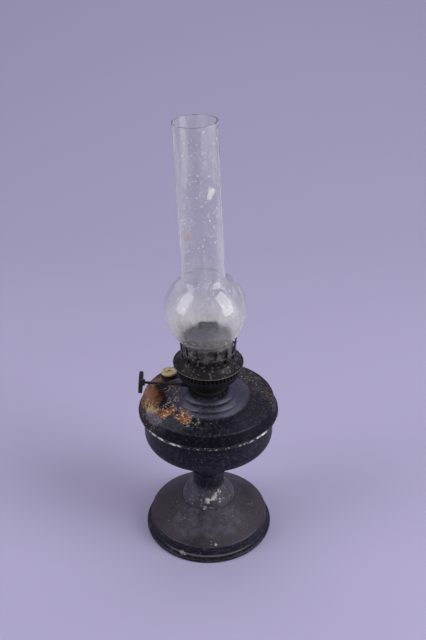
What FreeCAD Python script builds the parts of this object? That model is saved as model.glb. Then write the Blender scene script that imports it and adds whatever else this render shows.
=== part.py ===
# Flat-wick kerosene table lamp: sheet-metal foot, stem and font, brass burner, glass chimney.
# Millimetres, +Z up, origin on the table under the middle of the foot.
# The wick knob points to -X, and the wick lies flat in the XZ plane.
import FreeCAD, Part
import math
import os

# Walls and fits
sheet = 0.8
brass = 0.6
glass = 1.5
running_gap = 0.3
thread_gap = 0.08
shaft_gap = 0.05
seat_gap = 0.1

# Foot
foot_radius = 69.6
foot_height = 38.0
foot_roll_radius = 2.1
foot_roll_flat = 0.3
foot_band_inset = 4.2
foot_step_width = 1.5
foot_step_height = 0.6
foot_band_low = 7.4
foot_band_height = 9.6
foot_band_taper = 1.4
foot_edge_round = 3.4
foot_lap = 6.0

# Stem, its ring and the socket under the font
stem_flare_radius = 29.0
stem_boss_radius = 22.6
stem_boss_height = 11.0
stem_boss_bulge = 1.0
stem_bend_height = 9.0
stem_bend_hollow = 0.9
stem_neck_radius = 17.2
stem_height = 36.2
stem_ring_radius = 1.5
socket_height = 30.8
socket_flare = 5.0
socket_waist = 3.2

# Font
font_radius = 73.1
bowl_inset = 5.3
bowl_depth = 49.2
bowl_wall_height = 24.3
bowl_side_radius = 13.0
seam_bead_radius = 1.7
shoulder_height = 14.2
shoulder_inset = 4.9
shoulder_edge_round = 1.6
annulus_width = 23.9
annulus_rise = 1.8
dome_rise = 10.4
dome_rings = 3
dome_ring_bulge = 0.6

# Filler
filler_azimuth = 141.0
filler_edge_distance = 13.6
filler_bore_radius = 4.8
filler_neck_wall = 1.2
filler_neck_height = 4.9
filler_neck_depth = 4.0
filler_base_width = 2.5
filler_washer_thickness = 0.8
filler_cap_wall = 2.5
filler_cap_top = 0.9
filler_cap_height = 3.4
filler_cap_round = 1.9
filler_cap_flutes = 20
filler_flute_radius = 0.9
vent_radius = 0.7

# Collar and burner thread
thread_radius = 16.3
collar_wall = 1.6
collar_flange_width = 2.8
collar_flange_height = 1.8
collar_flutes = 30
collar_flute_radius = 1.0
collar_depth = 7.0
gasket_thickness = 0.8
ferrule_wall = 1.0
ferrule_length = 7.5

# Burner basket
basket_foot_radius = 19.0
basket_radius = 32.6
basket_cup_height = 20.0
basket_neck_height = 2.5
basket_cup_round = 10.0
basket_band_height = 8.0
basket_slots = 48
basket_slot_width = 2.3
basket_slot_height = 5.6
air_hole_radius = 1.5
air_hole_rows = 2
air_holes_per_row = 18
air_row_pitch = 5.0

# Wick and wick tube
wick_width = 15.0
wick_thickness = 2.4
wick_lowering = 14.0
wick_floor_gap = 2.2
wick_gap = 0.3
tube_wall = 0.5
tube_tail = 8.0

# Wick raiser
shaft_radius = 1.4
shaft_rise = 1.6
shaft_tilt = 4.0
sleeve_wall = 0.6
sleeve_length = 22.0
sprocket_radius = 4.2
sprocket_root_radius = 3.2
sprocket_teeth = 10
sprocket_thickness = 1.6
sprocket_spacing = 8.0
sprocket_gap = 0.5
knob_reach = 69.2
knob_radius = 11.2
knob_rim_width = 2.6
knob_rim_thickness = 3.8
knob_web_thickness = 1.3
knob_hub_radius = 3.4
knob_hub_length = 4.2
knob_flutes = 36
knob_flute_radius = 0.7
shaft_end = 0.8

# Gallery
plate_overhang = 3.4
plate_thickness = 1.2
plate_edge_round = 0.4
plate_skirt_depth = 3.0
plate_bore_inset = 1.5
crown_foot_inset = 1.6
crown_cone_height = 6.3
crown_cone_hollow = 0.7
crown_wall_set = 0.4
crown_height = 16.6
crown_turn = 10.0
prong_count = 14
prong_height = 10.4
prong_width = 7.4
prong_waist_width = 3.4
prong_tip_width = 4.6
prong_waist_height = 6.2
prong_flare = 0.9
eye_radius = 2.1
eye_height = 12.6
crown_hole_radius = 1.1
crown_hole_height = 11.2

# Deflector
deflector_gap = 2.5
deflector_height = 39.8
deflector_slot_gap = 1.4
deflector_lip_height = 4.0
tube_top_gap = 4.0

# Chimney
fitter_radius = 26.0
ball_radius = 41.0
ball_height = 58.6
tube_low_radius = 21.3
tube_top_radius = 20.7
chimney_length = 246.8
neck_round_low = 6.0
neck_round_high = 10.0
chimney_lean = 2.6

# Levels, each standing on the one below
ring_z = foot_height + stem_height
bowl_z = ring_z + socket_height
rim_z = bowl_z + bowl_depth
seam_z = rim_z + sheet
edge_z = seam_z + shoulder_height
dome_z = edge_z + annulus_rise
collar_seat_z = dome_z + dome_rise
collar_top_z = collar_seat_z + collar_flange_height
burner_z = collar_top_z + gasket_thickness
band_z = burner_z + basket_cup_height
basket_top_z = band_z + basket_band_height
plate_top_z = basket_top_z + plate_thickness
deflector_top_z = plate_top_z + deflector_height
tube_top_z = deflector_top_z - tube_top_gap
ferrule_z = burner_z - ferrule_length
tube_bottom_z = ferrule_z - tube_tail
wick_top_z = deflector_top_z + deflector_lip_height / 2
wick_bottom_z = bowl_z + sheet + wick_floor_gap + wick_lowering
prong_low_z = plate_top_z + crown_height
prong_tip_z = prong_low_z + prong_height

# Radii and widths that follow from the sizes above
foot_band_radius = foot_radius - foot_band_inset
foot_bore_radius = stem_flare_radius - foot_lap
bowl_radius = font_radius - bowl_inset
bead_centre_radius = font_radius - seam_bead_radius
shoulder_foot_radius = font_radius - sheet
shoulder_edge_radius = font_radius - shoulder_inset
dome_radius = shoulder_edge_radius - annulus_width
collar_bore_radius = thread_radius + thread_gap
collar_barrel_radius = collar_bore_radius + collar_wall
collar_flange_radius = collar_barrel_radius + collar_flange_width
ferrule_bore_radius = thread_radius - ferrule_wall
plate_radius = basket_radius + plate_overhang
fitter_bore_radius = fitter_radius - glass
deflector_radius = fitter_bore_radius - deflector_gap
lean_slope = math.tan(math.radians(chimney_lean))
seat_lift = fitter_radius * math.sin(math.radians(chimney_lean)) + seat_gap
crown_neck_radius = fitter_radius + (prong_tip_z - plate_top_z) * lean_slope + running_gap + brass
filler_distance = shoulder_edge_radius - filler_edge_distance
filler_neck_radius = filler_bore_radius + filler_neck_wall
filler_base_radius = filler_neck_radius + filler_base_width
filler_cap_bore = filler_neck_radius + thread_gap
filler_cap_radius = filler_cap_bore + filler_cap_wall
tube_inner_width = wick_width + 2 * wick_gap
tube_inner_depth = wick_thickness + 2 * wick_gap
tube_outer_width = tube_inner_width + 2 * tube_wall
tube_outer_depth = tube_inner_depth + 2 * tube_wall
shaft_y = -(wick_thickness / 2 + running_gap + sprocket_radius)
shaft_z = burner_z + shaft_rise
sleeve_bore = shaft_radius + shaft_gap
sleeve_radius = sleeve_bore + sleeve_wall
cover_bore = sprocket_radius + sprocket_gap
cover_radius = cover_bore + brass
cover_half = sprocket_spacing / 2 + sprocket_thickness / 2 + sprocket_gap
cover_end = cover_half + brass

ORIGIN = FreeCAD.Vector(0, 0, 0)
UP = FreeCAD.Vector(0, 0, 1)
SHAFT_START = FreeCAD.Vector(0, shaft_y, shaft_z)
SHAFT_AXIS = FreeCAD.Vector(-math.cos(math.radians(shaft_tilt)), 0, math.sin(math.radians(shaft_tilt)))
BEYOND = 3 * foot_radius


def at(radius, height):
    return FreeCAD.Vector(radius, 0, height)


def line(start, end):
    return Part.LineSegment(start, end).toShape()


def lines(points):
    return [line(start, end) for start, end in zip(points, points[1:])]


def arc(start, middle, end):
    return Part.Arc(start, middle, end).toShape()


def round_arc(centre, radius, first_angle, last_angle):
    """Arc in the profile plane, with angles in degrees up from the radius."""
    angles = (first_angle, (first_angle + last_angle) / 2, last_angle)
    turns = [math.radians(angle) for angle in angles]
    return arc(*[centre + at(radius * math.cos(turn), radius * math.sin(turn)) for turn in turns])


def rounded(start, corner, end, radius):
    """Two lines that meet at a corner, with a tangent arc in place of the corner."""
    back = (start - corner).normalize()
    onward = (end - corner).normalize()
    half_angle = back.getAngle(onward) / 2
    reach = radius / math.tan(half_angle)
    middle = corner + (back + onward).normalize() * (radius / math.sin(half_angle) - radius)
    first = corner + back * reach
    last = corner + onward * reach
    return [line(start, first), arc(first, middle, last), line(last, end)]


def bulged(start, end, bulge):
    """Arc between two points that stands out to the right of the way from start to end."""
    way = end - start
    side = FreeCAD.Vector(way.z, 0, -way.x).normalize()
    return arc(start, (start + end) / 2 + side * bulge, end)


def spin(face):
    return face.revolve(ORIGIN, UP, 360.0)


def window(bore, low, high):
    """Part of the profile plane outside a bore and between two levels."""
    corners = [at(bore, low), at(BEYOND, low), at(BEYOND, high), at(bore, high)]
    return Part.Face(Part.makePolygon(corners + corners[:1]))


def outline_face(edges, corners):
    """Face inside a profile that is closed by straight lines through the corners."""
    first = edges[0].firstVertex(True).Point
    last = edges[-1].lastVertex(True).Point
    return Part.Face(Part.Wire(edges + lines([last] + corners + [first])))


def pressed(edges, corners, wall, low, high, bore=0.0):
    """Spun sheet of even wall just inside a profile, kept between two levels and outside a bore."""
    outline = outline_face(edges, corners)
    strip = outline.cut(outline.makeOffset2D(-wall))
    return spin(strip.common(window(bore, low, high)))


def joined(*shapes):
    return shapes[0].fuse(shapes[1:]).removeSplitter()


def tube(outer, inner, low, high, x=0.0, y=0.0):
    base = FreeCAD.Vector(x, y, low)
    return Part.makeCylinder(outer, high - low, base).cut(Part.makeCylinder(inner, high - low, base))


def disc(radius, low, high, x=0.0, y=0.0):
    return Part.makeCylinder(radius, high - low, FreeCAD.Vector(x, y, low))


def flat_bar(width, depth, low, high):
    """Upright bar with half-round edges, its width along X."""
    half_flat = (width - depth) / 2
    half_depth = depth / 2
    front_left = FreeCAD.Vector(-half_flat, -half_depth, low)
    front_right = FreeCAD.Vector(half_flat, -half_depth, low)
    back_right = FreeCAD.Vector(half_flat, half_depth, low)
    back_left = FreeCAD.Vector(-half_flat, half_depth, low)
    right_edge = arc(front_right, FreeCAD.Vector(width / 2, 0, low), back_right)
    left_edge = arc(back_left, FreeCAD.Vector(-width / 2, 0, low), front_left)
    outline = Part.Wire([line(front_left, front_right), right_edge, line(back_right, back_left), left_edge])
    return Part.Face(outline).extrude(UP * (high - low))


def around(shape, count, start=0.0):
    """Copies of a shape spaced evenly about the lamp's axis."""
    copies = []
    for index in range(count):
        copy = shape.copy()
        copy.rotate(ORIGIN, UP, start + 360.0 * index / count)
        copies.append(copy)
    return copies


def along_shaft(distance):
    return SHAFT_START + SHAFT_AXIS * distance


def shaft_rod(radius, first, last):
    return Part.makeCylinder(radius, last - first, along_shaft(first), SHAFT_AXIS)


def on_shaft(shape, distance):
    """Move a shape modelled about +Z onto the knob shaft."""
    placed = shape.copy()
    placed.Placement = FreeCAD.Placement(along_shaft(distance), FreeCAD.Rotation(UP, SHAFT_AXIS))
    return placed


def foot():
    roll_centre = at(foot_radius - foot_roll_radius, foot_roll_radius - foot_roll_flat)
    step_edge = at(foot_band_radius + foot_step_width, foot_band_low)
    band_low = at(foot_band_radius, foot_band_low + foot_step_height)
    band_high = at(foot_band_radius - foot_band_taper, foot_band_low + foot_band_height)
    cone_top = at(stem_flare_radius + sheet, foot_height)
    edges = lines([roll_centre, step_edge, band_low])
    edges += rounded(band_low, band_high, cone_top, foot_edge_round)
    corners = [at(-BEYOND, foot_height), at(-BEYOND, -BEYOND), at(roll_centre.x, -BEYOND)]
    shell = pressed(edges, corners, sheet, roll_centre.z, foot_height, foot_bore_radius)
    roll = Part.makeTorus(roll_centre.x, foot_roll_radius, at(0, roll_centre.z))
    table = disc(BEYOND, -BEYOND, 0)
    return joined(shell, roll).cut(table)


def stem():
    """Straight neck that bends out to a rounded boss on the foot."""
    boss_low = at(stem_flare_radius, foot_height)
    boss_high = at(stem_boss_radius, foot_height + stem_boss_height)
    neck_low = at(stem_neck_radius, boss_high.z + stem_bend_height)
    edges = [bulged(boss_low, boss_high, stem_boss_bulge), bulged(boss_high, neck_low, -stem_bend_hollow)]
    edges += lines([neck_low, at(stem_neck_radius, ring_z + BEYOND)])
    corners = [at(-BEYOND, ring_z + BEYOND), at(-BEYOND, 0), at(stem_flare_radius, 0)]
    return pressed(edges, corners, sheet, foot_height, ring_z)


def stem_ring():
    bead = Part.makeTorus(stem_neck_radius, stem_ring_radius, at(0, ring_z))
    return bead.cut([disc(stem_neck_radius, 0, rim_z), stem(), font_socket()])


def bowl_profile():
    """Outside of the bowl from its middle to its rim: a dished bottom, a tight corner and a straight wall."""
    inset = bowl_radius - bowl_side_radius
    drop = bowl_depth - bowl_wall_height
    bottom_radius = (inset ** 2 + drop ** 2 - bowl_side_radius ** 2) / (2 * (drop - bowl_side_radius))
    bottom_centre = at(0, bowl_z + bottom_radius)
    side_centre = at(inset, rim_z - bowl_wall_height)
    way = side_centre - bottom_centre
    meet_angle = math.degrees(math.atan2(way.z, way.x))
    bottom = round_arc(bottom_centre, bottom_radius, -90, meet_angle)
    side = round_arc(side_centre, bowl_side_radius, meet_angle, 0)
    return [bottom, side] + lines([at(bowl_radius, side_centre.z), at(bowl_radius, rim_z)])


def bowl_outline():
    corners = [at(bowl_radius, rim_z + BEYOND), at(-BEYOND, rim_z + BEYOND), at(-BEYOND, bowl_z)]
    return bowl_profile(), corners


def font_bowl():
    """Bowl with a flange whose rolled bead clasps the foot of the shoulder."""
    edges, corners = bowl_outline()
    cup = pressed(edges, corners, sheet, bowl_z, rim_z)
    flange = tube(bead_centre_radius, bowl_radius - sheet, rim_z, seam_z)
    bead = Part.makeTorus(bead_centre_radius, seam_bead_radius, at(0, seam_z + sheet))
    return joined(cup, flange, bead).cut(shoulder_body(seam_z))


def font_socket():
    flare_top = at(stem_neck_radius + socket_flare, bowl_z)
    edges = [bulged(at(stem_neck_radius, ring_z), flare_top, -socket_waist)]
    edges += lines([flare_top, flare_top + at(0, BEYOND)])
    corners = [at(-BEYOND, flare_top.z + BEYOND), at(-BEYOND, 0), at(stem_neck_radius, 0)]
    skirt = pressed(edges, corners, sheet, ring_z, rim_z)
    bowl_edges, bowl_corners = bowl_outline()
    return skirt.cut(spin(outline_face(bowl_edges, bowl_corners).common(window(0, 0, seam_z))))


def shoulder_profile():
    """Outside of the shoulder: a flared side, a crisp edge, a flat ring and a dome of shallow rings."""
    foot_edge = at(shoulder_foot_radius, seam_z)
    dome_foot = at(dome_radius, dome_z)
    seat_edge = at(collar_flange_radius + sheet, collar_seat_z)
    edges = lines([at(shoulder_foot_radius, 0), foot_edge])
    edges += rounded(foot_edge, at(shoulder_edge_radius, edge_z), dome_foot, shoulder_edge_round)
    step = (seat_edge - dome_foot) / dome_rings
    for index in range(dome_rings):
        edges.append(bulged(dome_foot + step * index, dome_foot + step * (index + 1), dome_ring_bulge))
    corners = [at(-BEYOND, collar_seat_z), at(-BEYOND, 0)]
    return edges, corners


def shoulder_body(low):
    """Everything inside the shoulder's outside, above a level."""
    edges, corners = shoulder_profile()
    return spin(outline_face(edges, corners).common(window(0, low, collar_seat_z)))


def filler_place():
    turn = math.radians(filler_azimuth)
    return filler_distance * math.cos(turn), filler_distance * math.sin(turn)


def annulus_height(radius):
    return edge_z + (shoulder_edge_radius - radius) * annulus_rise / annulus_width


filler_base_z = annulus_height(filler_distance - filler_base_radius) + sheet
filler_top_z = filler_base_z + filler_neck_height
washer_top_z = filler_top_z + filler_washer_thickness


def font_shoulder():
    edges, corners = shoulder_profile()
    shell = pressed(edges, corners, sheet, seam_z, collar_seat_z, collar_barrel_radius)
    return shell.cut(disc(filler_neck_radius, 0, collar_seat_z, *filler_place()))


def filler_neck():
    place = filler_place()
    low = annulus_height(filler_distance) - filler_neck_depth
    base = disc(filler_base_radius, low, filler_base_z, *place).cut(shoulder_body(seam_z))
    neck = disc(filler_neck_radius, low, filler_top_z, *place)
    return joined(base, neck).cut(disc(filler_bore_radius, low, filler_top_z, *place))


def filler_washer():
    outer = filler_neck_radius - running_gap
    return tube(outer, filler_bore_radius, filler_top_z, washer_top_z, *filler_place())


def filler_cap():
    """Domed screw cap with a vent, fluted round its lower edge."""
    x, y = filler_place()
    high = washer_top_z + filler_cap_top
    low = high - filler_cap_height
    cap = disc(filler_cap_radius, low, high, x, y)
    cap = cap.makeFillet(filler_cap_round, [cap.Edges[0]])
    flutes = []
    for index in range(filler_cap_flutes):
        turn = 2 * math.pi * index / filler_cap_flutes
        flute_x = x + filler_cap_radius * math.cos(turn)
        flute_y = y + filler_cap_radius * math.sin(turn)
        flutes.append(disc(filler_flute_radius, low, high - filler_cap_round, flute_x, flute_y))
    socket = disc(filler_cap_bore, low, washer_top_z, x, y)
    vent = disc(vent_radius, low, high, x, y)
    return cap.cut(flutes + [socket, vent])


def burner_collar():
    """Threaded collar with a scalloped flange."""
    flange = disc(collar_flange_radius, collar_seat_z, collar_top_z)
    barrel = disc(collar_barrel_radius, collar_top_z - collar_depth, collar_top_z)
    bore = disc(collar_bore_radius, 0, collar_top_z)
    flute = disc(collar_flute_radius, collar_seat_z, collar_top_z, collar_flange_radius)
    return joined(flange, barrel).cut(around(flute, collar_flutes) + [bore])


def burner_gasket():
    return tube(basket_foot_radius, thread_radius + running_gap, collar_top_z, burner_z)


def burner_ferrule():
    ring = tube(thread_radius, ferrule_bore_radius, ferrule_z, burner_z)
    floor = disc(thread_radius, ferrule_z, ferrule_z + ferrule_wall)
    return joined(ring, floor).cut(flat_bar(tube_outer_width, tube_outer_depth, tube_bottom_z, tube_top_z))


def burner_basket():
    """Cup with a straight neck, a cone that runs into a rounded shoulder, and a slotted band."""
    neck_top = at(basket_foot_radius, burner_z + basket_neck_height)
    round_centre = at(basket_radius - basket_cup_round, band_z)
    way = neck_top - round_centre
    cone_turn = math.degrees(math.atan2(way.z, way.x) + math.acos(basket_cup_round / way.Length))
    cup_round = round_arc(round_centre, basket_cup_round, cone_turn, 0)
    edges = lines([at(basket_foot_radius, burner_z), neck_top, cup_round.firstVertex(True).Point])
    edges += [cup_round] + lines([at(basket_radius, band_z), at(basket_radius, basket_top_z + BEYOND)])
    corners = [at(-BEYOND, basket_top_z + BEYOND), at(-BEYOND, burner_z)]
    cup = pressed(edges, corners, brass, burner_z, basket_top_z, ferrule_bore_radius)
    slot_low = band_z + (basket_band_height - basket_slot_height) / 2
    slot = Part.makeBox(basket_radius, basket_slot_width, basket_slot_height)
    slot.translate(FreeCAD.Vector(basket_radius / 2, -basket_slot_width / 2, slot_low))
    sleeve_hole = shaft_rod(sleeve_radius, cover_end, cover_end + sleeve_length)
    return cup.cut(sleeve_hole).cut(around(slot, basket_slots))


def air_plate():
    low = band_z
    plate = disc(basket_radius - brass, low, low + brass)
    holes = [flat_bar(tube_outer_width, tube_outer_depth, tube_bottom_z, tube_top_z)]
    for row in range(air_hole_rows):
        row_radius = basket_radius - air_row_pitch * (row + 1)
        hole = disc(air_hole_radius, low, low + brass, row_radius)
        holes += around(hole, air_holes_per_row, 180.0 * row / air_holes_per_row)
    return plate.cut(holes)


def wick_tube():
    outer = flat_bar(tube_outer_width, tube_outer_depth, tube_bottom_z, tube_top_z)
    inner = flat_bar(tube_inner_width, tube_inner_depth, tube_bottom_z, tube_top_z)
    reach = -shaft_y - tube_outer_depth / 2
    window_half = math.sqrt(cover_bore ** 2 - reach ** 2)
    window_width = sprocket_thickness + 2 * sprocket_gap
    windows = []
    for side in (-1, 1):
        middle = along_shaft(side * sprocket_spacing / 2)
        corner = FreeCAD.Vector(middle.x - window_width / 2, -tube_outer_depth, middle.z - window_half)
        windows.append(Part.makeBox(window_width, tube_outer_depth, 2 * window_half, corner))
    return outer.cut([inner] + windows)


def sprocket_cover():
    """Trough round the sprockets, open towards the wick, with a bearing hole in each end."""
    shell = shaft_rod(cover_radius, -cover_end, cover_end)
    inside = shaft_rod(cover_bore, -cover_half, cover_half)
    bearing = shaft_rod(sleeve_bore, -2 * cover_end, 2 * cover_end)
    tube_side = Part.makeBox(BEYOND, BEYOND, BEYOND)
    tube_side.translate(FreeCAD.Vector(-BEYOND / 2, -tube_outer_depth / 2, 0))
    return shell.cut([inside, bearing, tube_side])


def shaft_sleeve():
    first = cover_end
    last = cover_end + sleeve_length
    return shaft_rod(sleeve_radius, first, last).cut(shaft_rod(sleeve_bore, first, last))


def raiser_shaft():
    return shaft_rod(shaft_radius, -cover_end - shaft_end, knob_reach + knob_web_thickness / 2 + shaft_end)


def sprocket_wheels():
    """Two toothed wheels that bite the wick."""
    points = []
    for index in range(2 * sprocket_teeth):
        radius = sprocket_root_radius if index % 2 else sprocket_radius
        turn = math.pi * index / sprocket_teeth
        points.append(FreeCAD.Vector(radius * math.cos(turn), radius * math.sin(turn), 0))
    blank = Part.Face(Part.makePolygon(points + points[:1])).extrude(UP * sprocket_thickness)
    wheel = blank.cut(disc(shaft_radius, 0, sprocket_thickness))
    middles = (-sprocket_spacing / 2, sprocket_spacing / 2)
    return Part.makeCompound([on_shaft(wheel, middle - sprocket_thickness / 2) for middle in middles])


def raiser_knob():
    """Dished wheel with a fluted rim and a hub on its inner side."""
    rim = tube(knob_radius, knob_radius - knob_rim_width, -knob_rim_thickness / 2, knob_rim_thickness / 2)
    web = disc(knob_radius - knob_rim_width, -knob_web_thickness / 2, knob_web_thickness / 2)
    hub = disc(knob_hub_radius, -knob_hub_length, 0)
    flute = disc(knob_flute_radius, -knob_rim_thickness, knob_rim_thickness, knob_radius)
    bore = disc(shaft_radius, -knob_hub_length, knob_hub_length)
    wheel = joined(rim, web, hub).cut(around(flute, knob_flutes) + [bore])
    return on_shaft(wheel, knob_reach)


def wick():
    return flat_bar(wick_width, wick_thickness, wick_bottom_z, wick_top_z)


def gallery_plate():
    bore = deflector_radius - plate_bore_inset
    plate = tube(plate_radius, bore, basket_top_z, plate_top_z)
    rims = [edge for edge in plate.Edges if edge.Closed and edge.BoundBox.XMax > bore + brass]
    plate = plate.makeFillet(plate_edge_round, rims)
    skirt_radius = basket_radius - brass - running_gap
    skirt = tube(skirt_radius, skirt_radius - brass, basket_top_z - plate_skirt_depth, basket_top_z)
    return joined(plate, skirt)


def gallery_crown():
    """Pierced wall on a hollow cone, with waisted prongs that hold the chimney."""
    foot_edge = at(plate_radius - crown_foot_inset, plate_top_z)
    cone_top = at(crown_neck_radius + crown_wall_set, plate_top_z + crown_cone_height)
    prong_foot = at(crown_neck_radius, prong_low_z)
    tip = at(crown_neck_radius + prong_flare, prong_tip_z)
    edges = lines([at(foot_edge.x, 0), foot_edge])
    edges.append(bulged(foot_edge, cone_top, -crown_cone_hollow))
    edges += lines([cone_top, prong_foot, tip, tip + at(0, BEYOND)])
    corners = [at(-BEYOND, tip.z + BEYOND), at(-BEYOND, 0)]
    shell = pressed(edges, corners, brass, plate_top_z, prong_tip_z)
    eyes = around(piercing(eye_radius, eye_height), prong_count, crown_turn + 180.0 / prong_count)
    holes = around(piercing(crown_hole_radius, crown_hole_height), prong_count, crown_turn)
    return shell.cut(prong_gaps() + eyes + holes)


def piercing(radius, height):
    """Cutter for one round opening in the crown's wall."""
    centre = FreeCAD.Vector(deflector_radius, 0, plate_top_z + height)
    return Part.makeCylinder(radius, basket_radius, centre, FreeCAD.Vector(1, 0, 0))


def prong_gaps():
    """Gaps that leave prongs with a narrow waist and a wider tip."""
    half_step = (crown_neck_radius + prong_flare) * math.sin(math.pi / prong_count)
    low_half, waist_half, tip_half = [
        half_step - width / 2 for width in (prong_width, prong_waist_width, prong_tip_width)
    ]
    waist_z = prong_low_z + prong_waist_height
    above = prong_tip_z + brass
    side = [(low_half, prong_low_z), (waist_half, waist_z), (tip_half, prong_tip_z), (tip_half, above)]
    corners = side + [(-across, up) for across, up in reversed(side)] + side[:1]
    outline = Part.makePolygon([FreeCAD.Vector(deflector_radius, across, up) for across, up in corners])
    gap = Part.Face(outline).extrude(FreeCAD.Vector(basket_radius, 0, 0))
    return around(gap, prong_count, crown_turn + 180.0 / prong_count)


def deflector():
    """Domed cap over the wick tube with a lipped slot for the flame."""
    centre = at(0, deflector_top_z - deflector_radius)
    edges = lines([at(deflector_radius, 0), at(deflector_radius, centre.z)])
    edges.append(round_arc(centre, deflector_radius, 0, 90))
    corners = [at(-BEYOND, deflector_top_z), at(-BEYOND, 0)]
    dome = pressed(edges, corners, brass, plate_top_z, deflector_top_z)
    slot_width = tube_outer_width + deflector_slot_gap
    slot_depth = wick_thickness + 2 * deflector_slot_gap
    lip_top_z = deflector_top_z + deflector_lip_height
    lip = flat_bar(slot_width + 2 * brass, slot_depth + 2 * brass, tube_top_z, lip_top_z)
    return joined(dome, lip).cut(flat_bar(slot_width, slot_depth, plate_top_z, lip_top_z))


def neck_round(wall_radius, rounding, side):
    """Arc that blends the ball into a straight neck, given below (-1) or above (+1) the ball."""
    reach = math.sqrt((ball_radius + rounding) ** 2 - (wall_radius + rounding) ** 2)
    centre = at(wall_radius + rounding, ball_height + side * reach)
    lift = math.degrees(math.asin(reach / (ball_radius + rounding)))
    return centre, lift


def chimney():
    """Glass with a straight fitter, a ball and a long tube, leaning in its prongs."""
    low_centre, low_lift = neck_round(fitter_radius, neck_round_low, -1)
    high_centre, high_lift = neck_round(tube_low_radius, neck_round_high, 1)
    edges = lines([at(fitter_radius, -BEYOND), at(fitter_radius, low_centre.z)])
    edges.append(round_arc(low_centre, neck_round_low, 180, 180 - low_lift))
    edges.append(round_arc(at(0, ball_height), ball_radius, -low_lift, high_lift))
    edges.append(round_arc(high_centre, neck_round_high, 180 + high_lift, 180))
    tube_foot = at(tube_low_radius, high_centre.z)
    tube_top = at(tube_top_radius, chimney_length)
    edges += lines([tube_foot, tube_top, tube_top + at(0, BEYOND)])
    corners = [at(-BEYOND, chimney_length + BEYOND), at(-BEYOND, -BEYOND)]
    shell = pressed(edges, corners, glass, 0, chimney_length)
    shell.rotate(ORIGIN, FreeCAD.Vector(0, 1, 0), -chimney_lean)
    shell.translate(UP * (plate_top_z + seat_lift))
    return shell


pieces = {
    "foot": foot,
    "stem": stem,
    "stem_ring": stem_ring,
    "font_socket": font_socket,
    "font_bowl": font_bowl,
    "font_shoulder": font_shoulder,
    "filler_neck": filler_neck,
    "filler_washer": filler_washer,
    "filler_cap": filler_cap,
    "burner_collar": burner_collar,
    "burner_gasket": burner_gasket,
    "burner_ferrule": burner_ferrule,
    "burner_basket": burner_basket,
    "air_plate": air_plate,
    "wick_tube": wick_tube,
    "sprocket_cover": sprocket_cover,
    "shaft_sleeve": shaft_sleeve,
    "raiser_shaft": raiser_shaft,
    "sprocket_wheels": sprocket_wheels,
    "raiser_knob": raiser_knob,
    "wick": wick,
    "gallery_plate": gallery_plate,
    "gallery_crown": gallery_crown,
    "deflector": deflector,
    "chimney": chimney,
}

os.makedirs("parts", exist_ok=True)
for name, make in pieces.items():
    shape = make()
    shape.exportStep("parts/" + name + ".step")
    print(name, len(shape.Solids), round(shape.Volume), shape.isValid())
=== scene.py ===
"""A worn black kerosene table lamp with a glass ball chimney: its finishes, woven wick and studio."""

import math

import bpy
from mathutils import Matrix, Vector


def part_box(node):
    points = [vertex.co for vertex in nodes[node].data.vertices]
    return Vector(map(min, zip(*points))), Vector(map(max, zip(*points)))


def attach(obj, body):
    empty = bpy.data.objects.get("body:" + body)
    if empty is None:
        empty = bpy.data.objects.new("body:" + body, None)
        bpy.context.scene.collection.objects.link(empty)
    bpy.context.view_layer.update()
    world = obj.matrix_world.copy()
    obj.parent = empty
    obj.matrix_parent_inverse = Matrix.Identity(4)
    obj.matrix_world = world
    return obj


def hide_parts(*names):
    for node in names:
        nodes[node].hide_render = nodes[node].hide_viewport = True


MM = 0.001

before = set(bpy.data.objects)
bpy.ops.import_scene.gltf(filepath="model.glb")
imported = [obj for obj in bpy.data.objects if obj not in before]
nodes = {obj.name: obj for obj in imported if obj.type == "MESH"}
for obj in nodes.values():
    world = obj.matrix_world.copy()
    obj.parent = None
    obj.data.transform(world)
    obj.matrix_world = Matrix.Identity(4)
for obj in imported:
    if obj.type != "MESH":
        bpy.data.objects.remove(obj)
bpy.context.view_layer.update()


def colour(red, green, blue):
    """A display colour, 0 to 255, as the linear colour that a shader takes."""
    shares = [part / 255 for part in (red, green, blue)]
    linear = [part / 12.92 if part <= 0.04045 else ((part + 0.055) / 1.055) ** 2.4 for part in shares]
    return (*linear, 1.0)


# Colours of the finishes
BLACK_PAINT = colour(14, 13, 19)
BLUE_PAINT = colour(25, 25, 37)
# Painted reflection colour: a bluish tint on the paint's reflections, standing in for the lilac studio
# they show
LILAC_REFLECTION_TINT = colour(226, 226, 255)
BROWN_GRIME = colour(37, 33, 31)
OLIVE_GRIME = colour(66, 58, 48)
TEAL_GRIME = colour(58, 62, 62)
GREY_DUST = colour(92, 90, 96)
FOOT_FILM = colour(62, 55, 57)
# Pale bluish grey, used both for real haze and chips and for painted highlights on the foot
HAZE_AND_HIGHLIGHT = colour(82, 78, 88)
PALE_METAL = colour(186, 180, 172)
BARE_METAL = colour(222, 218, 214)
PALE_GRIT = colour(146, 138, 124)
CREAM_SCALE = colour(166, 148, 112)
LILAC_SCALE = colour(108, 100, 112)
BRIGHT_RUST = colour(190, 136, 96)
ORANGE_RUST = colour(134, 84, 42)
TAN_RUST = colour(132, 106, 92)
BROWN_RUST = colour(72, 48, 34)
PINK_RUST = colour(176, 156, 150)
BLACK_RUST = colour(20, 16, 16)
DARK_BRASS = colour(25, 23, 24)
OLIVE_BRASS = colour(45, 41, 35)
OLD_BRASS = colour(128, 102, 58)
SOOT = colour(11, 11, 13)
ASH = colour(112, 108, 108)
BLACK_STEEL = colour(34, 30, 28)
BARE_STEEL = colour(120, 116, 110)
LEATHER = colour(44, 33, 26)
DARK_LEATHER = colour(26, 20, 17)
OCHRE_SCALE = colour(150, 130, 92)
PALE_SCALE = colour(188, 174, 138)
COTTON = colour(196, 182, 150)
OILED_COTTON = colour(150, 126, 84)
CHARRED = colour(24, 21, 20)
CLEAR_GLASS = colour(244, 245, 243)
GLASS_SHADOW = colour(240, 240, 240)
GLASS_DUST = colour(190, 186, 190)
GLASS_CHALK = colour(236, 234, 238)
GLASS_CREAM = colour(214, 206, 184)
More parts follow.
